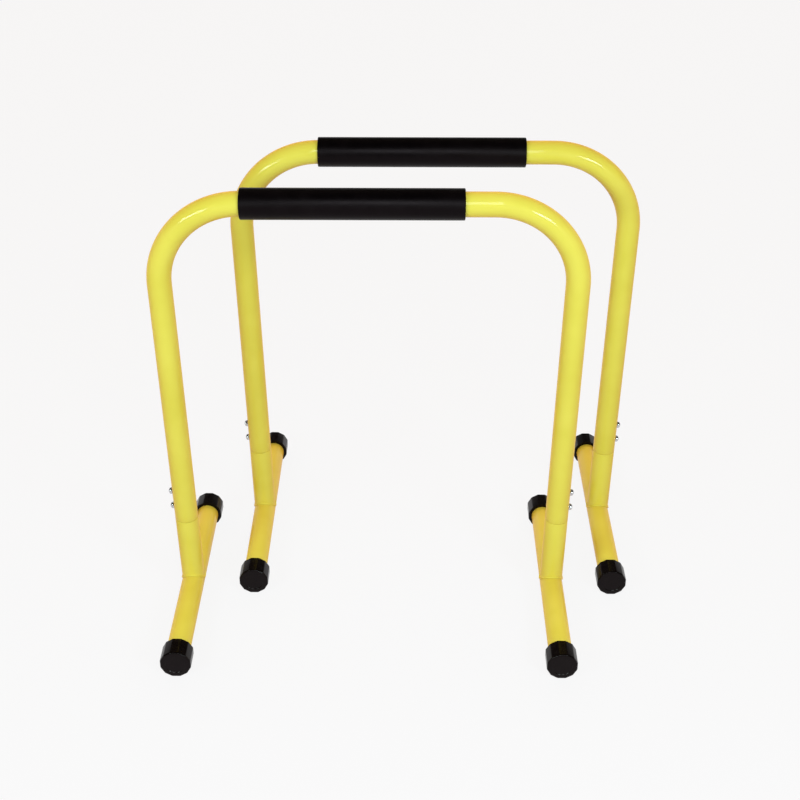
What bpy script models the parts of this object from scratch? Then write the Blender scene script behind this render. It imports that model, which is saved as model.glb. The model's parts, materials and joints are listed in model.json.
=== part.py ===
"""Parallel dip bars: two free-standing inverted-U bars of steel tube with foam grips.

Each bar is one bent tube whose legs drop over inner sleeves and butt on short stubs.
A stub is coped and welded to the middle of a base tube, which has a push-on cap on each end.
Two round-head screws a leg pass through saddle washers, the leg and the sleeve into weld nuts.
Units are metres. +X runs along the bars, +Y from the front bar to the rear one, +Z is up,
and the origin is on the floor in the middle of the pair.
"""

import math

import bmesh
import bpy
from mathutils import Matrix, Vector

# Tube stock
TUBE_OD = 0.038
TUBE_WALL = 0.0015
TUBE_SIDES = 24

# One bar: the grip's height is measured from the axes of its base tubes
GRIP_HEIGHT = 0.694
FOOT_SPACING = 0.616
LEG_SPLAY = math.radians(1.2)
BEND_RADIUS = 0.130
BEND_STEPS = 10
BASE_LENGTH = 0.452

# The pair: how far apart the bars stand, and the clear way between their bases' caps
BAR_SPACING = 0.216
BASE_CLEARANCE = 0.055

# Foam grip: it reaches the left bend and leaves bare tube on the right
FOAM_WALL = 0.0045
FOAM_BARE = 0.045
FOAM_ROUND = 0.0015

# Leg joint, along the leg: the stub from the base tube up to the seam, the sleeve from below
# the seam to above the upper screw, and the screws from the seam up
STUB_LENGTH = 0.110
SEAM_WIDTH = 0.0006
SLEEVE_WALL = 0.002
SLEEVE_BELOW = 0.050
SLEEVE_ABOVE = 0.022
SCREW_RISE = 0.024
SCREW_PITCH = 0.029

# Screws, washers and nuts: a head's shoulder is its reach past the thread, and a washer's rim
# is its reach past the head
THREAD = 0.006
THREAD_PROUD = 0.001
HEAD_SHOULDER = 0.0025
HEAD_HEIGHT = 0.0042
HEAD_STEPS = 3
SOCKET_FLATS = 0.004
SOCKET_DEPTH = 0.0022
WASHER_RIM = 0.0003
WASHER_THICKNESS = 0.0012
NUT_WALL = 0.002
NUT_HEIGHT = 0.005
NUT_CHAMFER = 0.0005

# Weld bead round the foot of a stub
WELD_RADIUS = 0.0018
WELD_SIDES = 4
WELD_STEPS = 16

# End caps
CAP_SIDES = 12
CAP_WALL = 0.0052
CAP_LENGTH = 0.035
CAP_END = 0.005
CAP_RIM = 0.003
CAP_RIM_STEPS = 3
CAP_DISH_DIAMETER = 0.032
CAP_DISH_DEPTH = 0.0008

# Clearance between pieces that touch or slide on each other
GAP = 0.0003

# A foot's turn about Z, which points its X axis outwards
SIDES = {"left": math.pi, "right": 0.0}

# Steps round small turned pieces, the distance within which their ends are merged, the angle
# above which an edge stays sharp, and the one above which a nut's edges are chamfered
FINE_STEPS = 12
MERGE_DISTANCE = GAP / 30
SHARP_ANGLE = math.radians(35)
CHAMFER_ANGLE = math.radians(75)

# Sizes that follow from the ones above
TUBE_RADIUS = TUBE_OD / 2
BORE_RADIUS = TUBE_RADIUS - TUBE_WALL
CAP_APOTHEM = TUBE_RADIUS + GAP + CAP_WALL
BAR_STAGGER = 2 * CAP_APOTHEM + BASE_CLEARANCE
FOOT_HALF = FOOT_SPACING / 2
SEAM_HEIGHT = TUBE_RADIUS + STUB_LENGTH
SLEEVE_RADIUS = BORE_RADIUS - GAP
SLEEVE_BORE = SLEEVE_RADIUS - SLEEVE_WALL
LOWER_SCREW = SEAM_HEIGHT + SCREW_RISE
UPPER_SCREW = LOWER_SCREW + SCREW_PITCH
SLEEVE_BOTTOM = SEAM_HEIGHT - SLEEVE_BELOW
SLEEVE_TOP = UPPER_SCREW + SLEEVE_ABOVE
HOLE_RADIUS = THREAD / 2 + GAP
HEAD_RADIUS = THREAD / 2 + HEAD_SHOULDER
WASHER_RADIUS = HEAD_RADIUS + WASHER_RIM
NUT_RADIUS = (THREAD / 2 + NUT_WALL) / math.cos(math.pi / 6)
WASHER_FACE = TUBE_RADIUS + GAP + WASHER_THICKNESS
HEAD_SEAT = WASHER_FACE + GAP
NUT_SEAT = math.sqrt(SLEEVE_BORE**2 - NUT_RADIUS**2) - GAP
NUT_INNER_FACE = NUT_SEAT - NUT_HEIGHT
SCREW_TIP = NUT_INNER_FACE - THREAD_PROUD

# The bend's centre: its circle of BEND_RADIUS touches the leg's axis and the grip's axis
BEND_RISE = GRIP_HEIGHT - BEND_RADIUS
BEND_X = FOOT_HALF + (BEND_RISE * math.sin(LEG_SPLAY) - BEND_RADIUS) / math.cos(LEG_SPLAY)


def linear(hex_colour):
    """The linear RGBA of an sRGB hex colour."""
    channels = [int(hex_colour[i : i + 2], 16) / 255 for i in (0, 2, 4)]
    return [c / 12.92 if c <= 0.04045 else ((c + 0.055) / 1.055) ** 2.4 for c in channels] + [1.0]


def material(name, hex_colour, roughness, metallic=0.0):
    made = bpy.data.materials.new(name)
    made.use_nodes = True
    shader = made.node_tree.nodes["Principled BSDF"]
    shader.inputs["Base Color"].default_value = linear(hex_colour)
    shader.inputs["Roughness"].default_value = roughness
    shader.inputs["Metallic"].default_value = metallic
    return made


def clear_scene():
    for obj in list(bpy.data.objects):
        bpy.data.objects.remove(obj)


def new_collection(name):
    made = bpy.data.collections.new(name)
    bpy.context.scene.collection.children.link(made)
    return made


def workpiece(name, data):
    """A helper object that a finished mesh is taken from, or that cuts one."""
    obj = bpy.data.objects.new(name, data)
    obj.hide_render = True
    obj.display_type = "WIRE"
    workshop.objects.link(obj)
    return obj


def shaped(name, shape):
    """A workpiece that holds the bmesh's shape."""
    mesh = bpy.data.meshes.new(name)
    shape.to_mesh(mesh)
    shape.free()
    return workpiece(name, mesh)


def rod(name, radius, low, high, sides=TUBE_SIDES, capped=True):
    """A cylinder along Z from low to high, open at both ends if it isn't capped."""
    shape = bmesh.new()
    bmesh.ops.create_cone(
        shape,
        cap_ends=capped,
        segments=sides,
        radius1=radius,
        radius2=radius,
        depth=high - low,
        matrix=Matrix.Translation((0, 0, (low + high) / 2)),
    )
    return shaped(name, shape)


def turned(name, profile, steps):
    """A solid of revolution about Z. The profile's (radius, z) points run down its outer side."""
    shape = bmesh.new()
    points = [shape.verts.new((radius, 0, z)) for radius, z in profile]
    for first, second in zip(points, points[1:]):
        shape.edges.new((first, second))
    obj = shaped(name, shape)
    screw = obj.modifiers.new("Turn", "SCREW")
    screw.axis = "Z"
    screw.angle = 2 * math.pi
    screw.steps = steps
    screw.render_steps = steps
    screw.use_merge_vertices = True
    screw.merge_threshold = MERGE_DISTANCE
    return obj


def tube_along(name, points, radius, sides, cyclic=False):
    """An open tube, or a closed ring, along the points, as a mesh workpiece."""
    path = bpy.data.curves.new(name, "CURVE")
    path.dimensions = "3D"
    path.bevel_depth = radius
    path.bevel_resolution = (sides - 4) // 2
    spline = path.splines.new("POLY")
    spline.points.add(len(points) - 1)
    for point, place in zip(spline.points, points):
        point.co = (*place, 1)
    spline.use_cyclic_u = cyclic
    curve = workpiece(name + "_path", path)
    return workpiece(name, finished(curve, name))


def hollow(obj, wall):
    """Gives the open surface a wall on its inner side."""
    solidify = obj.modifiers.new("Wall", "SOLIDIFY")
    solidify.thickness = wall
    solidify.offset = -1
    solidify.use_even_offset = True


def combine(obj, other, operation="DIFFERENCE"):
    boolean = obj.modifiers.new(other.name, "BOOLEAN")
    boolean.operation = operation
    boolean.object = other


def finished(obj, name, finish=None):
    """The workpiece's mesh with its modifiers applied. The workpiece and its cutters are removed."""
    bpy.context.view_layer.update()
    graph = bpy.context.evaluated_depsgraph_get()
    mesh = bpy.data.meshes.new_from_object(obj.evaluated_get(graph))
    mesh.name = name
    mesh.shade_smooth()
    mesh.set_sharp_from_angle(angle=SHARP_ANGLE)
    if finish:
        mesh.materials.append(finish)
    cutters = [modifier.object for modifier in obj.modifiers if modifier.type == "BOOLEAN"]
    for used in [obj, *cutters]:
        bpy.data.objects.remove(used)
    return mesh


def leg_matrix(turn=0.0):
    """From a leg's own frame, Z up the leg and X outwards, to the bar's frame."""
    foot = Matrix.Translation((FOOT_HALF, 0, 0)) @ Matrix.Rotation(LEG_SPLAY, 4, "Y")
    return Matrix.Rotation(turn, 4, "Z") @ foot


def screw_holes(name):
    """A cutter with both screw holes of a leg, from inside its nuts to outside the tube."""
    shape = bmesh.new()
    for height in (LOWER_SCREW, UPPER_SCREW):
        low, high = SCREW_TIP, HEAD_SEAT
        middle = Matrix.Translation(((low + high) / 2, 0, height))
        bmesh.ops.create_cone(
            shape,
            cap_ends=True,
            segments=FINE_STEPS,
            radius1=HOLE_RADIUS,
            radius2=HOLE_RADIUS,
            depth=high - low,
            matrix=middle @ Matrix.Rotation(math.pi / 2, 4, "Y"),
        )
    return shaped(name, shape)


def u_path():
    """Points of the U tube's axis in the bar's frame, from the left leg's end to the right one's."""
    end = leg_matrix() @ Vector((0, 0, SEAM_HEIGHT + SEAM_WIDTH / 2))
    right = [(end.x, end.z)]
    sweep = math.pi / 2 + LEG_SPLAY
    for step in range(BEND_STEPS + 1):
        angle = sweep * step / BEND_STEPS - LEG_SPLAY
        x = BEND_X + BEND_RADIUS * math.cos(angle)
        z = BEND_RISE + BEND_RADIUS * math.sin(angle)
        right.append((x, z))
    left = [(-x, z) for x, z in right]
    return [(x, 0, z) for x, z in left + right[::-1]]


def u_tube_mesh(finish):
    tube = tube_along("u_tube", u_path(), TUBE_RADIUS, TUBE_SIDES)
    hollow(tube, TUBE_WALL)
    for side, turn in SIDES.items():
        holes = screw_holes(side + "_holes")
        holes.matrix_world = leg_matrix(turn)
        combine(tube, holes)
    return finished(tube, "u_tube", finish)


def foam_mesh(finish):
    """The foam sleeve, turned about Z, with its outer edges rounded."""
    length = 2 * BEND_X - FOAM_BARE
    inner = TUBE_RADIUS + GAP
    outer = inner + FOAM_WALL
    edge = FOAM_ROUND * (1 - math.sqrt(0.5))
    top = [
        (inner, length / 2),
        (outer - FOAM_ROUND, length / 2),
        (outer - edge, length / 2 - edge),
        (outer, length / 2 - FOAM_ROUND),
    ]
    bottom = [(radius, -z) for radius, z in reversed(top)]
    return finished(turned("foam", top + bottom + top[:1], TUBE_SIDES), "foam_grip", finish)


def base_tube_mesh(finish):
    half = BASE_LENGTH / 2 - CAP_END - GAP
    tube = rod("base_tube", TUBE_RADIUS, -half, half, capped=False)
    hollow(tube, TUBE_WALL)
    return finished(tube, "base_tube", finish)


def weld_bead():
    """A ring along the line where the stub meets the base tube, in the leg's frame."""
    reach = TUBE_RADIUS + GAP
    points = []
    for step in range(WELD_STEPS):
        angle = 2 * math.pi * (step + 0.5) / WELD_STEPS
        across = TUBE_RADIUS * math.cos(angle)
        points.append((across, TUBE_RADIUS * math.sin(angle), math.sqrt(reach**2 - across**2)))
    return tube_along("weld_bead", points, WELD_RADIUS, WELD_SIDES, cyclic=True)


def leg_stub_mesh(finish):
    """The stub in the leg's frame: its foot is coped to the base tube and ringed by the weld."""
    stub = rod("leg_stub", TUBE_RADIUS, 0, SEAM_HEIGHT - SEAM_WIDTH / 2, capped=False)
    hollow(stub, TUBE_WALL)
    combine(stub, weld_bead(), "UNION")
    cope = rod("cope", TUBE_RADIUS + GAP, -TUBE_OD, TUBE_OD)
    cope.rotation_euler.x = math.pi / 2
    combine(stub, cope)
    return finished(stub, "leg_stub", finish)


def sleeve_mesh(finish):
    sleeve = rod("sleeve", SLEEVE_RADIUS, SLEEVE_BOTTOM, SLEEVE_TOP, capped=False)
    hollow(sleeve, SLEEVE_WALL)
    combine(sleeve, screw_holes("sleeve_holes"))
    return finished(sleeve, "joint_sleeve", finish)


def screw_mesh(finish):
    """A round-head screw along Z with its seat at zero and a hexagon socket in its head."""
    arc = [math.pi / 2 * step / HEAD_STEPS for step in range(HEAD_STEPS + 1)]
    dome = [(HEAD_RADIUS * math.sin(a), HEAD_HEIGHT * math.cos(a)) for a in arc]
    shank = [(THREAD / 2, 0), (THREAD / 2, SCREW_TIP - HEAD_SEAT), (0, SCREW_TIP - HEAD_SEAT)]
    screw = turned("screw", dome + shank, FINE_STEPS)
    corner = SOCKET_FLATS / 2 / math.cos(math.pi / 6)
    combine(screw, rod("socket", corner, HEAD_HEIGHT - SOCKET_DEPTH, 2 * HEAD_HEIGHT, sides=6))
    return finished(screw, "screw", finish)


def washer_mesh(finish):
    """A washer with its flat face at WASHER_FACE along Z and its back hollowed to the tube."""
    outer, inner = WASHER_RADIUS, HOLE_RADIUS
    back = math.sqrt((TUBE_RADIUS + GAP) ** 2 - outer**2) - WASHER_THICKNESS
    ring = [(inner, WASHER_FACE), (outer, WASHER_FACE), (outer, back), (inner, back)]
    washer = turned("washer", ring + ring[:1], FINE_STEPS)
    saddle = rod("saddle", TUBE_RADIUS + GAP, -TUBE_OD, TUBE_OD)
    saddle.rotation_euler.y = math.pi / 2
    combine(washer, saddle)
    return finished(washer, "washer", finish)


def nut_mesh(finish):
    """A hexagon weld nut along Z between its two faces."""
    nut = rod("nut", NUT_RADIUS, NUT_INNER_FACE, NUT_SEAT, sides=6)
    bevel = nut.modifiers.new("Chamfer", "BEVEL")
    bevel.width = NUT_CHAMFER
    bevel.segments = 1
    bevel.limit_method = "ANGLE"
    bevel.angle_limit = CHAMFER_ANGLE
    combine(nut, rod("nut_bore", HOLE_RADIUS, 0, TUBE_OD, sides=FINE_STEPS))
    return finished(nut, "nut", finish)


def cap_mesh(finish):
    """A twelve-sided cap along Z: open at zero, with a rounded rim and a shallow dish on its end."""
    shape = bmesh.new()
    bmesh.ops.create_cone(
        shape,
        cap_ends=True,
        segments=CAP_SIDES,
        radius1=CAP_APOTHEM / math.cos(math.pi / CAP_SIDES),
        radius2=CAP_APOTHEM / math.cos(math.pi / CAP_SIDES),
        depth=CAP_LENGTH,
        matrix=Matrix.Translation((0, 0, CAP_LENGTH / 2)) @ Matrix.Rotation(math.pi / CAP_SIDES, 4, "Z"),
    )
    rim = [e for e in shape.edges if all(v.co.z > CAP_LENGTH / 2 for v in e.verts)]
    bmesh.ops.bevel(
        shape,
        geom=rim,
        offset=CAP_RIM,
        segments=CAP_RIM_STEPS,
        profile=0.5,
        affect="EDGES",
        material=-1,
    )
    cap = shaped("cap", shape)
    combine(cap, rod("cap_bore", TUBE_RADIUS + GAP, -CAP_END, CAP_LENGTH - CAP_END))
    dish_floor = CAP_LENGTH - CAP_DISH_DEPTH
    combine(cap, rod("cap_dish", CAP_DISH_DIAMETER / 2, dish_floor, 2 * CAP_LENGTH))
    return finished(cap, "end_cap", finish)


def frame_point(name, parent, location, rotation=(0, 0, 0)):
    """An empty that carries pieces."""
    empty = bpy.data.objects.new(name, None)
    empty.empty_display_size = TUBE_OD
    empty.parent = parent
    empty.location = location
    empty.rotation_euler = rotation
    parts.objects.link(empty)
    return empty


def piece(name, mesh, parent, location=(0, 0, 0), rotation=(0, 0, 0)):
    obj = bpy.data.objects.new(name, mesh)
    obj.parent = parent
    obj.location = location
    obj.rotation_euler = rotation
    parts.objects.link(obj)
    return obj


def build_foot(bar, side, turn, frame, meshes):
    """A base tube with its caps, and the leg joint that stands on it. X is outwards."""
    name = f"{bar}_{side}"
    offset = Matrix.Rotation(turn, 4, "Z") @ Matrix.Translation((FOOT_HALF, 0, 0))
    foot = frame_point(name + "_foot", frame, offset.translation, (0, 0, turn))
    piece(name + "_base_tube", meshes["base_tube"], foot, rotation=(math.pi / 2, 0, 0))
    for end in (-1, 1):
        where = "near" if end * math.cos(turn) < 0 else "far"
        open_end = (0, end * (BASE_LENGTH / 2 - CAP_LENGTH), 0)
        piece(f"{name}_{where}_cap", meshes["end_cap"], foot, open_end, (-end * math.pi / 2, 0, 0))

    leg = frame_point(name + "_leg", foot, (0, 0, 0), (0, LEG_SPLAY, 0))
    piece(name + "_leg_stub", meshes["leg_stub"], leg)
    piece(name + "_joint_sleeve", meshes["joint_sleeve"], leg)
    outwards = (0, math.pi / 2, 0)
    for level, height in (("lower", LOWER_SCREW), ("upper", UPPER_SCREW)):
        piece(f"{name}_{level}_screw", meshes["screw"], leg, (HEAD_SEAT, 0, height), outwards)
        piece(f"{name}_{level}_washer", meshes["washer"], leg, (0, 0, height), outwards)
        piece(f"{name}_{level}_nut", meshes["nut"], leg, (0, 0, height), outwards)


def build_bar(bar, way, meshes):
    """One bar. Its frame is midway between its feet, at the height of the base tubes' axes."""
    place = (way * BAR_STAGGER / 2, way * BAR_SPACING / 2, CAP_APOTHEM)
    frame = frame_point(bar + "_bar", None, place)
    piece(bar + "_u_tube", meshes["u_tube"], frame)
    grip_middle = (-FOAM_BARE / 2, 0, GRIP_HEIGHT)
    piece(bar + "_foam_grip", meshes["foam_grip"], frame, grip_middle, (0, math.pi / 2, 0))
    for side, turn in SIDES.items():
        build_foot(bar, side, turn, frame, meshes)


clear_scene()
parts = new_collection("parallel_dip_bars")
workshop = new_collection("workshop")

yellow = material("yellow_powder_coat", "E0CB49", 0.35)
foam = material("black_foam", "1C1C1E", 0.85)
plastic = material("black_plastic", "1A191B", 0.5)
chrome = material("chrome_plate", "C8C8CC", 0.15, 1.0)
steel = material("bare_steel", "8A8B8E", 0.45, 1.0)

finished_meshes = {
    "u_tube": u_tube_mesh(yellow),
    "foam_grip": foam_mesh(foam),
    "base_tube": base_tube_mesh(yellow),
    "leg_stub": leg_stub_mesh(yellow),
    "joint_sleeve": sleeve_mesh(steel),
    "screw": screw_mesh(chrome),
    "washer": washer_mesh(chrome),
    "nut": nut_mesh(steel),
    "end_cap": cap_mesh(plastic),
}
for bar, way in (("front", -1), ("rear", 1)):
    build_bar(bar, way, finished_meshes)
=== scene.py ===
"""Looks of a pair of parallel dip bars: powder-coated steel tube, foam grips and moulded caps.

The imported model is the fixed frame. Each part that shows is modelled again, finer, where its
CAD node stands, and the inner sleeves and nuts stay as they are with a steel finish.
Units are metres. +X runs along the bars, +Y from the front bar to the rear one, +Z is up.
"""

import json
import math

import bmesh
import bpy
from mathutils import Matrix, Vector

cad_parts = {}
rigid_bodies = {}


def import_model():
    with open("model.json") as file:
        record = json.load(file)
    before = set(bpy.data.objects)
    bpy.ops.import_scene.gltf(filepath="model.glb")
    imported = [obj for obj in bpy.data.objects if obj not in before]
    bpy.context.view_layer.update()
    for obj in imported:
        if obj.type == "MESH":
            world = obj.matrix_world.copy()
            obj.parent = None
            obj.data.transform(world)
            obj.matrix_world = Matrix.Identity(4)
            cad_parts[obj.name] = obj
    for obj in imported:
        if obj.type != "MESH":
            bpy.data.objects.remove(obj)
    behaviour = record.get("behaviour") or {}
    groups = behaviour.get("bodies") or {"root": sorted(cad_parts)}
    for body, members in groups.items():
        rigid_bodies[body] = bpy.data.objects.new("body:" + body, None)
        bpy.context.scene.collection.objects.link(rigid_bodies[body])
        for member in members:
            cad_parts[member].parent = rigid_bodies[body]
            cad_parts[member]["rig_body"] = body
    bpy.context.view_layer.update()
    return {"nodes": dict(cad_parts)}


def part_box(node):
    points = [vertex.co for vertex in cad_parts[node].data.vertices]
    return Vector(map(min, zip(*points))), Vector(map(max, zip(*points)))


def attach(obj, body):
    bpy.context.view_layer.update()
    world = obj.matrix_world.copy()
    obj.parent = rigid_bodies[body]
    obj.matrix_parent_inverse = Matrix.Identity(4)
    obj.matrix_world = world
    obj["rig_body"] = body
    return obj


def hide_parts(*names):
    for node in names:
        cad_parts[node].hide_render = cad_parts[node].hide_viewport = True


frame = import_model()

MM = 0.001

# Sizes as in the CAD. Heights are above the base tubes' axes, and go up the leg where it leans
TUBE_RADIUS = 19.0 * MM
TUBE_WALL = 1.5 * MM
GAP = 0.3 * MM
GRIP_HEIGHT = 694.0 * MM
FOOT_HALF = 308.0 * MM
LEG_SPLAY = math.radians(1.2)
BEND_RADIUS = 130.0 * MM
BASE_LENGTH = 452.0 * MM
SEAM_HEIGHT = 129.0 * MM
SEAM_WIDTH = 0.6 * MM
WELD_RADIUS = 1.8 * MM

# The foam starts at the left bend and leaves a bare length of tube before the right one
FOAM_BARE = 45.0 * MM
FOAM_BORE = 19.3 * MM
FOAM_RADIUS = 23.8 * MM

# A screw's seat and tip and its washer's face are so far out from the leg's axis
SCREW_HEIGHTS = {"lower": 153.0 * MM, "upper": 182.0 * MM}
HEAD_SEAT = 20.8 * MM
SCREW_TIP = 7.0 * MM
WASHER_FACE = 20.5 * MM
WASHER_RADIUS = 5.8 * MM
WASHER_THICKNESS = 1.2 * MM
HEAD_RADIUS = 5.5 * MM
HEAD_HEIGHT = 4.2 * MM
THREAD_RADIUS = 3.0 * MM
HOLE_RADIUS = 3.3 * MM
SOCKET_SIDES = 6
SOCKET_FLATS = 4.0 * MM
SOCKET_DEPTH = 2.2 * MM

# The apothem is half a cap's width across flats, and the end is how thick its closed end is
CAP_SIDES = 12
CAP_APOTHEM = 24.5 * MM
CAP_LENGTH = 35.0 * MM
CAP_END = 5.0 * MM
CAP_RIM = 3.0 * MM
CAP_DISH_RADIUS = 16.0 * MM
CAP_DISH_DEPTH = 0.8 * MM

# Roundings that only the eye needs
TUBE_EDGE = 0.4 * MM
FOAM_ROUND = 1.5 * MM
CAP_CORNER = 1.2 * MM
SCREW_CHAMFER = 0.5 * MM
WASHER_EDGE = 0.25 * MM

# Weld ripples: their swell is a share of the bead's radius, their length a share of their pitch
WELD_RIPPLES = 42
RIPPLE_SWELL = 0.1
RIPPLE_LENGTH = 0.25

# Steps round the turned and drawn forms and their cutters
TUBE_SIDES = 96
BEND_STEPS = 48
SCREW_SIDES = 48
DOME_STEPS = 12
HOLE_SIDES = 24
SADDLE_SIDES = 192
WELD_SIDES = 12
WELD_STEPS = 168
FOAM_ROUND_STEPS = 6
CAP_CORNER_STEPS = 4
CAP_RIM_STEPS = 8
TUBE_EDGE_STEPS = 3

# The bent tube's rings stand this far from a screw hole's centre: a near one on both sides of
# each hole, and a far one below and above the pair
NEAR_RING = 6.0 * MM
FAR_RING = 13.0 * MM

SIDES = {"left": math.pi, "right": 0.0}
SHARP_ANGLE = math.radians(35)
CUT_END_ANGLE = math.radians(60)
MERGE_DISTANCE = 0.005 * MM

# The bend's centre: its circle touches the leg's axis and the grip's axis
BEND_RISE = GRIP_HEIGHT - BEND_RADIUS
BEND_X = FOOT_HALF + (BEND_RISE * math.sin(LEG_SPLAY) - BEND_RADIUS) / math.cos(LEG_SPLAY)

# The studio. Its walls fade to a dark ceiling between two heights of a unit sphere: high up for
# the light that falls on the bars, and lower in what mirrors see of them
CEILING_LEVEL = 0.03
LIT_WALL = (0.65, 0.85)
MIRRORED_WALL = (0.15, 0.35)
FLOOR_RADIUS = 30.0
FLOOR_DROP = 0.5 * MM
LAMP_TARGET = (0, 0, 0.45)


def linear(hex_colour):
    """The linear RGBA of an sRGB hex colour."""
    channels = [int(hex_colour[i : i + 2], 16) / 255 for i in (0, 2, 4)]
    return [c / 12.92 if c <= 0.04045 else ((c + 0.055) / 1.055) ** 2.4 for c in channels] + [1.0]


def add(tree, kind, values=None, links=None, **settings):
    """Adds a node with its settings, its sockets' values and its links from other nodes' outputs."""
    made = tree.nodes.new(kind)
    for name, value in settings.items():
        setattr(made, name, value)
    for socket, value in (values or {}).items():
        made.inputs[socket].default_value = value
    for socket, (source, output) in (links or {}).items():
        tree.links.new(source.outputs[output], made.inputs[socket])
    return made


def colours(ramp, *stops):
    """Sets a colour ramp's two stops, each a place from 0 to 1 and an sRGB hex colour."""
    for element, (place, hex_colour) in zip(ramp.color_ramp.elements, stops):
        element.position = place
        element.color = linear(hex_colour)


def new_material(name):
    """An empty material and its node tree, with Object coordinates to start from."""
    made = bpy.data.materials.new(name)
    made.use_nodes = True
    made.node_tree.nodes.clear()
    place = add(made.node_tree, "ShaderNodeTexCoord")
    return made, made.node_tree, place


def powder_coat():
    """Polyester powder coat, sprayed and baked on steel tube: a closed lemon-yellow skin with a
    shallow orange peel. The pigment gives nearly all its light. The clear top of the film shows
    the lamps as thin bright streaks, and at glancing angles the yellow turns golden."""
    made, tree, place = new_material("yellow_polyester_powder_coat")
    # Orange peel cells are about 2.5 mm wide: 400 noise cells a metre
    peel = add(
        tree,
        "ShaderNodeTexNoise",
        {"Scale": 400.0, "Detail": 2.0, "Roughness": 0.4},
        {"Vector": (place, "Object")},
    )
    # The film's thickness drifts over about 70 mm, which shifts its yellow and its gloss a little
    film = add(
        tree,
        "ShaderNodeTexNoise",
        {"Scale": 14.0, "Detail": 2.0, "Roughness": 0.5},
        {"Vector": (place, "Object")},
    )
    tint = add(tree, "ShaderNodeValToRGB", links={"Fac": (film, "Fac")})
    colours(tint, (0.3, "CFD053"), (0.7, "D6D85D"))
    gloss = add(
        tree,
        "ShaderNodeMapRange",
        {"From Min": 0.3, "From Max": 0.7, "To Min": 0.34, "To Max": 0.42},
        {"Value": (film, "Fac")},
    )
    relief = add(
        tree,
        "ShaderNodeBump",
        {"Strength": 0.5, "Distance": 0.02 * MM},
        {"Height": (peel, "Fac")},
    )
    shader = add(
        tree,
        "ShaderNodeBsdfPrincipled",
        {
            "IOR": 1.5,
            "Specular IOR Level": 0.05,
            "Coat Weight": 0.3,
            "Coat Roughness": 0.045,
            "Coat IOR": 1.6,
            "Sheen Weight": 0.5,
            "Sheen Roughness": 0.65,
            "Sheen Tint": linear("FF9C18"),
        },
        {"Base Color": (tint, "Color"), "Roughness": (gloss, "Result"), "Normal": (relief, "Normal")},
    )
    add(tree, "ShaderNodeOutputMaterial", links={"Surface": (shader, 0)})
    return made


def foam_skin():
    """Closed-cell nitrile foam sleeve, cut from an extruded length: a dull, dry black skin with
    fine pores, which takes a broad soft light along its crown and none at its sides."""
    made, tree, place = new_material("black_closed_cell_foam")
    # Cells of the skin are about 0.8 mm wide, drawn at 1.2 mm so that they show: 830 a metre
    cells = add(tree, "ShaderNodeTexVoronoi", {"Scale": 830.0}, {"Vector": (place, "Object")})
    # Rubbing and handling leave soft patches about 25 mm long, in the black and in its gloss
    rub = add(
        tree,
        "ShaderNodeTexNoise",
        {"Scale": 40.0, "Detail": 4.0, "Roughness": 0.6},
        {"Vector": (place, "Object")},
    )
    tint = add(tree, "ShaderNodeValToRGB", links={"Fac": (rub, "Fac")})
    colours(tint, (0.3, "030203"), (0.7, "070507"))
    gloss = add(
        tree,
        "ShaderNodeMapRange",
        {"From Min": 0.3, "From Max": 0.7, "To Min": 0.32, "To Max": 0.42},
        {"Value": (rub, "Fac")},
    )
    relief = add(
        tree,
        "ShaderNodeBump",
        {"Strength": 0.35, "Distance": 0.12 * MM},
        {"Height": (cells, "Distance")},
    )
    shader = add(
        tree,
        "ShaderNodeBsdfPrincipled",
        {"IOR": 1.5, "Specular IOR Level": 0.08, "Specular Tint": linear("FFE6EE")},
        {"Base Color": (tint, "Color"), "Roughness": (gloss, "Result"), "Normal": (relief, "Normal")},
    )
    add(tree, "ShaderNodeOutputMaterial", links={"Surface": (shader, 0)})
    return made


def cap_plastic():
    """Soft PVC, injection moulded in a finely blasted mould: half-gloss black with a very fine
    grain. Its ends take the pale light in front, and its upper sides stay nearly black."""
    made, tree, place = new_material("black_moulded_pvc")
    # The mould's grain is about 0.3 mm, drawn at 0.7 mm so that it shows: 1400 a metre
    grain = add(
        tree,
        "ShaderNodeTexNoise",
        {"Scale": 1400.0, "Detail": 2.0, "Roughness": 0.6},
        {"Vector": (place, "Object")},
    )
    # Dust and scuffs drift over about 12 mm: 85 a metre
    scuff = add(
        tree,
        "ShaderNodeTexNoise",
        {"Scale": 85.0, "Detail": 5.0, "Roughness": 0.65},
        {"Vector": (place, "Object")},
    )
    tint = add(tree, "ShaderNodeValToRGB", links={"Fac": (scuff, "Fac")})
    colours(tint, (0.3, "070405"), (0.7, "0B0809"))
    gloss = add(
        tree,
        "ShaderNodeMapRange",
        {"From Min": 0.3, "From Max": 0.7, "To Min": 0.17, "To Max": 0.25},
        {"Value": (scuff, "Fac")},
    )
    relief = add(
        tree,
        "ShaderNodeBump",
        {"Strength": 0.3, "Distance": 0.05 * MM},
        {"Height": (grain, "Fac")},
    )
    shader = add(
        tree,
        "ShaderNodeBsdfPrincipled",
        {"IOR": 1.5, "Specular IOR Level": 0.12, "Specular Tint": linear("FFEEF2")},
        {"Base Color": (tint, "Color"), "Roughness": (gloss, "Result"), "Normal": (relief, "Normal")},
    )
    add(tree, "ShaderNodeOutputMaterial", links={"Surface": (shader, 0)})
    return made


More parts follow.
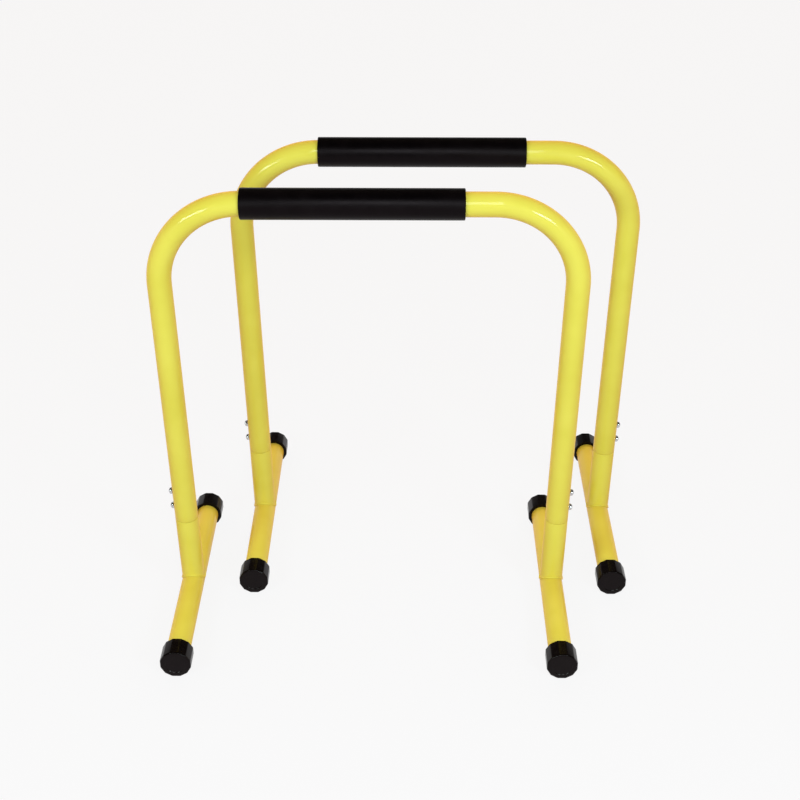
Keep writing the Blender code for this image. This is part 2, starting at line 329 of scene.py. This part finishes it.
def plated_steel():
    """Turned steel screw and washer with a bright chrome plate: a mirror, clouded a little."""
    made, tree, place = new_material("bright_chrome_plate")
    # The plate clouds over about 3 mm: 330 noise cells a metre
    cloud = add(
        tree,
        "ShaderNodeTexNoise",
        {"Scale": 330.0, "Detail": 3.0, "Roughness": 0.5},
        {"Vector": (place, "Object")},
    )
    tint = add(tree, "ShaderNodeValToRGB", links={"Fac": (cloud, "Fac")})
    colours(tint, (0.3, "C4C3C6"), (0.7, "D2D1D3"))
    gloss = add(
        tree,
        "ShaderNodeMapRange",
        {"From Min": 0.3, "From Max": 0.7, "To Min": 0.1, "To Max": 0.2},
        {"Value": (cloud, "Fac")},
    )
    shader = add(
        tree,
        "ShaderNodeBsdfPrincipled",
        {"Metallic": 1.0},
        {"Base Color": (tint, "Color"), "Roughness": (gloss, "Result")},
    )
    add(tree, "ShaderNodeOutputMaterial", links={"Surface": (shader, 0)})
    return made


def drawn_steel():
    """Bare drawn steel of the inner sleeves and nuts: dull grey with mill marks up the leg."""
    made, tree, place = new_material("bare_drawn_steel")
    # Mill marks are about 1 mm wide and 25 mm long: 1000 cells a metre across and 40 along
    stretch = add(
        tree,
        "ShaderNodeMapping",
        {"Scale": (1000.0, 1000.0, 40.0)},
        {"Vector": (place, "Object")},
    )
    marks = add(
        tree,
        "ShaderNodeTexNoise",
        {"Scale": 1.0, "Detail": 3.0, "Roughness": 0.5},
        {"Vector": (stretch, 0)},
    )
    tint = add(tree, "ShaderNodeValToRGB", links={"Fac": (marks, "Fac")})
    colours(tint, (0.3, "77787B"), (0.7, "929396"))
    gloss = add(
        tree,
        "ShaderNodeMapRange",
        {"From Min": 0.3, "From Max": 0.7, "To Min": 0.36, "To Max": 0.52},
        {"Value": (marks, "Fac")},
    )
    relief = add(
        tree,
        "ShaderNodeBump",
        {"Strength": 0.3, "Distance": 0.02 * MM},
        {"Height": (marks, "Fac")},
    )
    shader = add(
        tree,
        "ShaderNodeBsdfPrincipled",
        {"Metallic": 1.0},
        {"Base Color": (tint, "Color"), "Roughness": (gloss, "Result"), "Normal": (relief, "Normal")},
    )
    add(tree, "ShaderNodeOutputMaterial", links={"Surface": (shader, 0)})
    return made


def draw_out(shape, edges, step):
    """Draws an open ring of edges out along a vector, and gives the new ring."""
    made = bmesh.ops.extrude_edge_only(shape, edges=edges)["geom"]
    verts = [g for g in made if isinstance(g, bmesh.types.BMVert)]
    bmesh.ops.translate(shape, verts=verts, vec=step)
    return [g for g in made if isinstance(g, bmesh.types.BMEdge)]


def sweep(shape, edges, centre, angle, steps):
    """Turns an open ring of edges about a line along Y, and gives the last ring."""
    made = bmesh.ops.spin(
        shape,
        geom=edges,
        cent=centre,
        axis=(0, 1, 0),
        angle=angle,
        steps=steps,
        use_merge=False,
        use_duplicate=False,
    )["geom_last"]
    return [g for g in made if isinstance(g, bmesh.types.BMEdge)]


def spin_round(shape, geom, steps):
    """Turns a profile fully round Z, closes the seam and turns every face outwards."""
    bmesh.ops.spin(
        shape,
        geom=geom,
        cent=(0, 0, 0),
        axis=(0, 0, 1),
        angle=2 * math.pi,
        steps=steps,
        use_merge=True,
        use_duplicate=False,
    )
    clean(shape)


def clean(shape):
    """Merges doubles and turns every face outwards."""
    bmesh.ops.remove_doubles(shape, verts=shape.verts, dist=MERGE_DISTANCE)
    bmesh.ops.recalc_face_normals(shape, faces=shape.faces)


def soften(shape, edges, width, steps):
    """Rounds edges off."""
    bmesh.ops.bevel(
        shape, geom=edges, offset=width, segments=steps, profile=0.5, affect="EDGES", material=-1
    )


def as_object(name, shape):
    """An object at the origin that holds the finished shape."""
    mesh = bpy.data.meshes.new(name)
    shape.to_mesh(mesh)
    shape.free()
    obj = bpy.data.objects.new(name, mesh)
    bpy.context.scene.collection.objects.link(obj)
    return obj


def rod(name, radius, low, high, sides=TUBE_SIDES, matrix=Matrix(), capped=True, top_radius=None):
    """A cylinder or cone along Z from low to high, placed by a matrix."""
    shape = bmesh.new()
    bmesh.ops.create_cone(
        shape,
        cap_ends=capped,
        segments=sides,
        radius1=radius,
        radius2=radius if top_radius is None else top_radius,
        depth=high - low,
        matrix=matrix @ Matrix.Translation((0, 0, (low + high) / 2)),
    )
    return as_object(name, shape)


def quarter_turn(steps):
    """Angles from zero to a quarter turn, in equal steps."""
    return [math.pi / 2 * step / steps for step in range(steps + 1)]


def turned(name, profile, steps):
    """A form turned about Z from its (radius, z) profile."""
    shape = bmesh.new()
    points = [shape.verts.new((radius, 0, z)) for radius, z in profile]
    edges = [shape.edges.new(pair) for pair in zip(points, points[1:])]
    spin_round(shape, points + edges, steps)
    return as_object(name, shape)


def modify(obj, kind, **settings):
    """Adds a modifier with its settings."""
    modifier = obj.modifiers.new(kind, kind)
    for name, value in settings.items():
        setattr(modifier, name, value)


def wall(obj):
    """Gives an open tube its wall, with the cut ends' edges rounded off."""
    modify(obj, "SOLIDIFY", thickness=TUBE_WALL, offset=-1.0, use_even_offset=True)
    modify(
        obj,
        "BEVEL",
        width=TUBE_EDGE,
        segments=TUBE_EDGE_STEPS,
        limit_method="ANGLE",
        angle_limit=CUT_END_ANGLE,
    )


def cut(obj, cutter, operation="DIFFERENCE"):
    """Takes a cutter's form out of an object, or joins it on where the operation is UNION."""
    modify(obj, "BOOLEAN", object=cutter, operation=operation)


def made_mesh(obj):
    """The object's mesh with its modifiers applied, smooth except at its sharp edges. The object
    and its cutters are removed."""
    bpy.context.view_layer.update()
    graph = bpy.context.evaluated_depsgraph_get()
    mesh = bpy.data.meshes.new_from_object(obj.evaluated_get(graph))
    mesh.shade_smooth()
    mesh.set_sharp_from_angle(angle=SHARP_ANGLE)
    cutters = [modifier.object for modifier in obj.modifiers if modifier.type == "BOOLEAN"]
    for used in [obj, *cutters]:
        bpy.data.objects.remove(used)
    return mesh


def leg_matrix(turn):
    """From a leg's own frame, Z up the leg and X outwards, to the bar's frame."""
    foot = Matrix.Translation((FOOT_HALF, 0, 0)) @ Matrix.Rotation(LEG_SPLAY, 4, "Y")
    return Matrix.Rotation(turn, 4, "Z") @ foot


def screw_hole(height):
    """From a screw's own frame, Z out along its axis, to the leg's frame."""
    return Matrix.Translation((0, 0, height)) @ Matrix.Rotation(math.pi / 2, 4, "Y")


def bent_tube():
    """The bent tube: a ring drawn up the left leg, round both bends and down the right leg. Close
    rings round the screw holes keep the long faces clear of them."""
    start = SEAM_HEIGHT + SEAM_WIDTH / 2
    left, right = leg_matrix(SIDES["left"]), leg_matrix(SIDES["right"])
    # The leg's axis touches the bend's circle at the foot of the normal from its centre
    touch = right.inverted() @ Vector((BEND_X, 0, BEND_RISE))
    lower, upper = SCREW_HEIGHTS["lower"], SCREW_HEIGHTS["upper"]
    rings = [
        start,
        lower - FAR_RING,
        lower - NEAR_RING,
        lower + NEAR_RING,
        upper - NEAR_RING,
        upper + NEAR_RING,
        upper + FAR_RING,
        touch.z,
    ]
    up = left.to_3x3() @ Vector((0, 0, 1))
    down = right.to_3x3() @ Vector((0, 0, -1))
    bend = math.pi / 2 + LEG_SPLAY

    shape = bmesh.new()
    seam = left @ Matrix.Translation((0, 0, start))
    bmesh.ops.create_circle(shape, segments=TUBE_SIDES, radius=TUBE_RADIUS, matrix=seam)
    ring = list(shape.edges)
    for low, high in zip(rings, rings[1:]):
        ring = draw_out(shape, ring, up * (high - low))
    ring = sweep(shape, ring, (-BEND_X, 0, BEND_RISE), bend, BEND_STEPS)
    ring = draw_out(shape, ring, (2 * BEND_X, 0, 0))
    ring = sweep(shape, ring, (BEND_X, 0, BEND_RISE), bend, BEND_STEPS)
    for high, low in zip(rings[::-1], rings[-2::-1]):
        ring = draw_out(shape, ring, down * (high - low))
    clean(shape)
    tube = as_object("bent_tube", shape)
    wall(tube)
    for turn in SIDES.values():
        for height in SCREW_HEIGHTS.values():
            hole = leg_matrix(turn) @ screw_hole(height)
            cut(tube, rod("hole", HOLE_RADIUS, SCREW_TIP, HEAD_SEAT, HOLE_SIDES, hole))
    return made_mesh(tube)


def weld_bead():
    """A ring of weld ripples along the line where the stub meets the base tube, in the leg's frame."""
    shape = bmesh.new()
    upright = Matrix.Translation((TUBE_RADIUS, 0, 0)) @ Matrix.Rotation(math.pi / 2, 4, "X")
    bmesh.ops.create_circle(shape, segments=WELD_SIDES, radius=WELD_RADIUS, matrix=upright)
    spin_round(shape, shape.verts[:] + shape.edges[:], WELD_STEPS)
    reach = TUBE_RADIUS + GAP
    for vert in shape.verts:
        angle = math.atan2(vert.co.y, vert.co.x)
        centre = Vector((TUBE_RADIUS * math.cos(angle), TUBE_RADIUS * math.sin(angle), 0))
        # Each ripple is a low swell over the first part of its pitch, like the edge of a scale
        phase = (angle * WELD_RIPPLES / (2 * math.pi)) % 1.0
        rise = math.sin(math.pi * min(1.0, phase / RIPPLE_LENGTH))
        swell = 1.0 + RIPPLE_SWELL * (1.0 - phase) * rise
        vert.co = centre + (vert.co - centre) * swell
        vert.co.z += math.sqrt(reach**2 - centre.x**2)
    return as_object("weld_bead", shape)


def cross_rod(name, matrix):
    """A cutter as thick as the base tube and its gap, longer than a tube is wide."""
    return rod(name, TUBE_RADIUS + GAP, -2 * TUBE_RADIUS, 2 * TUBE_RADIUS, SADDLE_SIDES, matrix)


def leg_stub():
    """The stub in the leg's frame, coped to the base tube and welded round its foot."""
    stub = rod("leg_stub", TUBE_RADIUS, 0, SEAM_HEIGHT - SEAM_WIDTH / 2, capped=False)
    wall(stub)
    cut(stub, weld_bead(), "UNION")
    cut(stub, cross_rod("cope", Matrix.Rotation(math.pi / 2, 4, "X")))
    return made_mesh(stub)


def base_tube():
    """The straight tube on the floor, along Y, which stops a gap short of its caps' ends."""
    half = BASE_LENGTH / 2 - CAP_END - GAP
    along = Matrix.Rotation(math.pi / 2, 4, "X")
    tube = rod("base_tube", TUBE_RADIUS, -half, half, matrix=along, capped=False)
    wall(tube)
    return made_mesh(tube)


def foam_grip():
    """The foam sleeve along X in the bar's frame, with soft outer edges."""
    half = BEND_X - FOAM_BARE / 2
    end = [(FOAM_BORE, half)]
    for angle in quarter_turn(FOAM_ROUND_STEPS):
        radius = FOAM_RADIUS - FOAM_ROUND * (1 - math.sin(angle))
        end.append((radius, half - FOAM_ROUND * (1 - math.cos(angle))))
    profile = end + [(radius, -z) for radius, z in reversed(end)] + end[:1]
    mesh = made_mesh(turned("foam_grip", profile, TUBE_SIDES))
    along = Matrix.Rotation(math.pi / 2, 4, "Y")
    mesh.transform(Matrix.Translation((-FOAM_BARE / 2, 0, GRIP_HEIGHT)) @ along)
    return mesh


def end_cap():
    """The twelve-sided cap along Z, open at zero: softened corners, a rounded rim, a shallow dish."""
    corner_radius = CAP_APOTHEM / math.cos(math.pi / CAP_SIDES)
    half_way = Matrix.Translation((0, 0, CAP_LENGTH / 2))
    shape = bmesh.new()
    bmesh.ops.create_cone(
        shape,
        cap_ends=True,
        segments=CAP_SIDES,
        radius1=corner_radius,
        radius2=corner_radius,
        depth=CAP_LENGTH,
        matrix=half_way @ Matrix.Rotation(math.pi / CAP_SIDES, 4, "Z"),
    )
    corners = [e for e in shape.edges if abs(e.verts[0].co.z - e.verts[1].co.z) > CAP_LENGTH / 2]
    soften(shape, corners, CAP_CORNER, CAP_CORNER_STEPS)
    rim = [e for e in shape.edges if all(v.co.z > CAP_LENGTH - GAP for v in e.verts)]
    soften(shape, rim, CAP_RIM, CAP_RIM_STEPS)
    cap = as_object("end_cap", shape)
    cut(cap, rod("cap_bore", TUBE_RADIUS + GAP, -CAP_END, CAP_LENGTH - CAP_END))
    # The dish's wall slopes at 45 degrees, and has its radius halfway down
    floor_radius = CAP_DISH_RADIUS - CAP_DISH_DEPTH / 2
    floor_height = CAP_LENGTH - CAP_DISH_DEPTH
    dish = rod(
        "cap_dish",
        floor_radius,
        floor_height,
        floor_height + 2 * CAP_DISH_DEPTH,
        top_radius=floor_radius + 2 * CAP_DISH_DEPTH,
    )
    cut(cap, dish)
    return made_mesh(cap)


def screw():
    """A round-head screw along Z with its seat at zero and a hexagon socket in its head."""
    arc = quarter_turn(DOME_STEPS)
    dome = [(HEAD_RADIUS * math.sin(a), HEAD_HEIGHT * math.cos(a)) for a in arc]
    tip = SCREW_TIP - HEAD_SEAT
    shank = [
        (THREAD_RADIUS, 0),
        (THREAD_RADIUS, tip + SCREW_CHAMFER),
        (THREAD_RADIUS - SCREW_CHAMFER, tip),
        (0, tip),
    ]
    made = turned("screw", dome + shank, SCREW_SIDES)
    corner = SOCKET_FLATS / 2 / math.cos(math.pi / SOCKET_SIDES)
    cut(made, rod("socket", corner, HEAD_HEIGHT - SOCKET_DEPTH, 2 * HEAD_HEIGHT, SOCKET_SIDES))
    return made_mesh(made)


def washer():
    """A washer along Z, flat under the head and hollowed to the tube on its back."""
    back = math.sqrt((TUBE_RADIUS + GAP) ** 2 - WASHER_RADIUS**2) - WASHER_THICKNESS
    section = [
        (HOLE_RADIUS, WASHER_FACE),
        (WASHER_RADIUS - WASHER_EDGE, WASHER_FACE),
        (WASHER_RADIUS, WASHER_FACE - WASHER_EDGE),
        (WASHER_RADIUS, back),
        (HOLE_RADIUS, back),
        (HOLE_RADIUS, WASHER_FACE),
    ]
    made = turned("washer", section, SCREW_SIDES)
    cut(made, cross_rod("saddle", Matrix.Rotation(math.pi / 2, 4, "Y")))
    return made_mesh(made)


def fit(node, form, matrix, finish):
    """Puts a copy of a form where its CAD node stands, in its place and with its finish."""
    mesh = form.copy()
    mesh.transform(matrix)
    mesh.materials.append(finish)
    obj = bpy.data.objects.new(node + "_finished", mesh)
    mesh.name = obj.name
    bpy.context.scene.collection.objects.link(obj)
    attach(obj, frame["nodes"][node]["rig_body"])
    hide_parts(node)
    return obj


def fit_foot(bar, side, turn, bar_place):
    """A base tube with its caps, and the leg joint that stands on it."""
    name = f"{bar}_{side}"
    foot = bar_place @ Matrix.Rotation(turn, 4, "Z") @ Matrix.Translation((FOOT_HALF, 0, 0))
    fit(name + "_base_tube", forms["base_tube"], foot, coat)
    for end in (-1, 1):
        where = "near" if end * math.cos(turn) < 0 else "far"
        open_end = Matrix.Translation((0, end * (BASE_LENGTH / 2 - CAP_LENGTH), 0))
        placed = foot @ open_end @ Matrix.Rotation(-end * math.pi / 2, 4, "X")
        fit(f"{name}_{where}_cap", forms["end_cap"], placed, plastic)

    leg = bar_place @ leg_matrix(turn)
    fit(name + "_leg_stub", forms["leg_stub"], leg, coat)
    for level, height in SCREW_HEIGHTS.items():
        hole = leg @ screw_hole(height)
        seat = hole @ Matrix.Translation((0, 0, HEAD_SEAT))
        fit(f"{name}_{level}_screw", forms["screw"], seat, chrome)
        fit(f"{name}_{level}_washer", forms["washer"], hole, chrome)


def fit_bar(bar):
    """One bar. Its frame is midway between its feet, at the height of the base tubes' axes."""
    low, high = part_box(bar + "_u_tube")
    base_low, base_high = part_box(bar + "_left_base_tube")
    centre = ((low.x + high.x) / 2, (low.y + high.y) / 2, (base_low.z + base_high.z) / 2)
    bar_place = Matrix.Translation(centre)
    fit(bar + "_u_tube", forms["bent_tube"], bar_place, coat)
    grip = fit(bar + "_foam_grip", forms["foam_grip"], bar_place, foam)
    for side, turn in SIDES.items():
        fit_foot(bar, side, turn, bar_place)


def seen_rays(tree):
    """A node that gives 1 to rays from the eye, from mirrors and from glass, and 0 to the rest."""
    path = add(tree, "ShaderNodeLightPath")
    mirrored = add(
        tree,
        "ShaderNodeMath",
        links={0: (path, "Is Camera Ray"), 1: (path, "Is Glossy Ray")},
        operation="MAXIMUM",
    )
    return add(
        tree,
        "ShaderNodeMath",
        links={0: (mirrored, 0), 1: (path, "Is Transmission Ray")},
        operation="MAXIMUM",
    )


def set_world(front, back):
    """A plain studio room with a dark ceiling. Its walls light the bars up to a good height, with
    one level and warm colour in front and a higher, paler one behind, where no lamp stands.
    Mirrors and glass see the walls white up to a lower height, and the eye sees all of it white."""
    world = bpy.data.worlds.new("studio")
    bpy.context.scene.world = world
    world.use_nodes = True
    tree = world.node_tree
    tree.nodes.clear()
    towards = add(tree, "ShaderNodeTexCoord")
    parts = add(tree, "ShaderNodeSeparateXYZ", links={0: (towards, "Generated")})
    # The front's light reaches a little past the sides, and straight behind it is all the back's
    behind = add(
        tree,
        "ShaderNodeMapRange",
        {"From Min": 0.25, "From Max": 0.9},
        {"Value": (parts, "Y")},
    )
    level = add(
        tree,
        "ShaderNodeMapRange",
        {"To Min": front[0], "To Max": back[0]},
        {"Value": (behind, "Result")},
    )
    tint = add(tree, "ShaderNodeValToRGB", links={"Fac": (behind, "Result")})
    colours(tint, (0.0, front[1]), (1.0, back[1]))
    lit_wall, mirrored_wall = [
        add(
            tree,
            "ShaderNodeMapRange",
            {"From Min": low, "From Max": high, "To Min": 1.0, "To Max": CEILING_LEVEL},
            {"Value": (parts, "Z")},
            interpolation_type="SMOOTHSTEP",
        )
        for low, high in (LIT_WALL, MIRRORED_WALL)
    ]
    strength = add(
        tree,
        "ShaderNodeMath",
        links={0: (level, 0), 1: (lit_wall, 0)},
        operation="MULTIPLY",
    )
    room = add(
        tree,
        "ShaderNodeBackground",
        links={"Color": (tint, "Color"), "Strength": (strength, 0)},
    )
    path = add(tree, "ShaderNodeLightPath")
    seen_wall = add(
        tree,
        "ShaderNodeMath",
        links={0: (mirrored_wall, 0), 1: (path, "Is Camera Ray")},
        operation="MAXIMUM",
    )
    pale = add(
        tree,
        "ShaderNodeBackground",
        {"Color": linear("F6F6F6")},
        {"Strength": (seen_wall, 0)},
    )
    mixed = add(
        tree,
        "ShaderNodeMixShader",
        links={0: (seen_rays(tree), 0), 1: (room, 0), 2: (pale, 0)},
    )
    add(tree, "ShaderNodeOutputWorld", links={"Surface": (mixed, 0)})


def floor():
    """A pale floor that keeps the bars' soft shadow. The bars are lit by its real grey, and what
    the eye and mirrors see of it is a near white glow with the shadow laid over it."""
    shape = bmesh.new()
    bmesh.ops.create_circle(shape, cap_ends=True, segments=64, radius=FLOOR_RADIUS)
    bmesh.ops.translate(shape, verts=shape.verts, vec=(0, 0, -FLOOR_DROP))
    obj = as_object("studio_floor", shape)
    made = bpy.data.materials.new("pale_floor")
    made.use_nodes = True
    tree = made.node_tree
    tree.nodes.clear()
    seen = seen_rays(tree)
    lit = add(tree, "ShaderNodeBsdfDiffuse", {"Color": linear("9B958F")})
    shadow_keeper = add(tree, "ShaderNodeBsdfDiffuse", {"Color": linear("41434B")})
    pale = add(tree, "ShaderNodeEmission", {"Color": linear("F7F7F7"), "Strength": 0.952})
    shown = add(tree, "ShaderNodeAddShader", links={0: (shadow_keeper, 0), 1: (pale, 0)})
    mixed = add(tree, "ShaderNodeMixShader", links={0: (seen, 0), 1: (lit, 0), 2: (shown, 0)})
    add(tree, "ShaderNodeOutputMaterial", links={"Surface": (mixed, 0)})
    obj.data.materials.append(made)


def lamp(name, place, width, height, power, colour):
    """A soft box of so many metres and watts at a place, turned to the middle of the bars."""
    light = bpy.data.lights.new(name, "AREA")
    light.shape = "RECTANGLE"
    light.size = width
    light.size_y = height
    light.energy = power
    light.color = linear(colour)[:3]
    obj = bpy.data.objects.new(name, light)
    obj.location = place
    aim = Vector(LAMP_TARGET) - Vector(place)
    obj.rotation_euler = aim.to_track_quat("-Z", "Y").to_euler()
    bpy.context.scene.collection.objects.link(obj)


def set_camera():
    """The photograph's view, about two metres in front and looking 30 degrees down. Its lens, place
    and turn fit the outlines of the bars there."""
    camera = bpy.data.cameras.new("camera")
    camera.lens = 63.86
    camera.sensor_width = 36.0
    obj = bpy.data.objects.new("camera", camera)
    obj.location = (0.01204, -2.06408, 1.53254)
    obj.rotation_euler = (math.radians(90.0 - 30.45), 0.0, math.radians(0.47))
    bpy.context.scene.collection.objects.link(obj)
    bpy.context.scene.camera = obj


coat = powder_coat()
foam = foam_skin()
plastic = cap_plastic()
chrome = plated_steel()
steel = drawn_steel()

forms = {
    "bent_tube": bent_tube(),
    "foam_grip": foam_grip(),
    "base_tube": base_tube(),
    "leg_stub": leg_stub(),
    "end_cap": end_cap(),
    "screw": screw(),
    "washer": washer(),
}
for bar in ("front", "rear"):
    fit_bar(bar)

# The sleeves and nuts inside the legs keep their CAD shapes
for name, node in frame["nodes"].items():
    if name.endswith(("_joint_sleeve", "_nut")):
        node.data.materials.clear()
        node.data.materials.append(steel)

# Level and colour of the room's light in front and behind
set_world(front=(0.92, "FFC68C"), back=(2.7, "FFEAD6"))
floor()
lamp("left_soft_box", (-1.38, -1.66, 1.24), 0.84, 0.24, 15.6, "E0FFF6")
lamp("right_soft_box", (1.19, -1.80, 1.24), 0.54, 0.36, 19.6, "E0FFFA")
lamp("high_soft_box", (0.0, -1.95, 1.85), 0.90, 0.84, 20.0, "E8FAFA")
set_camera()
bpy.context.scene.view_settings.view_transform = "Standard"
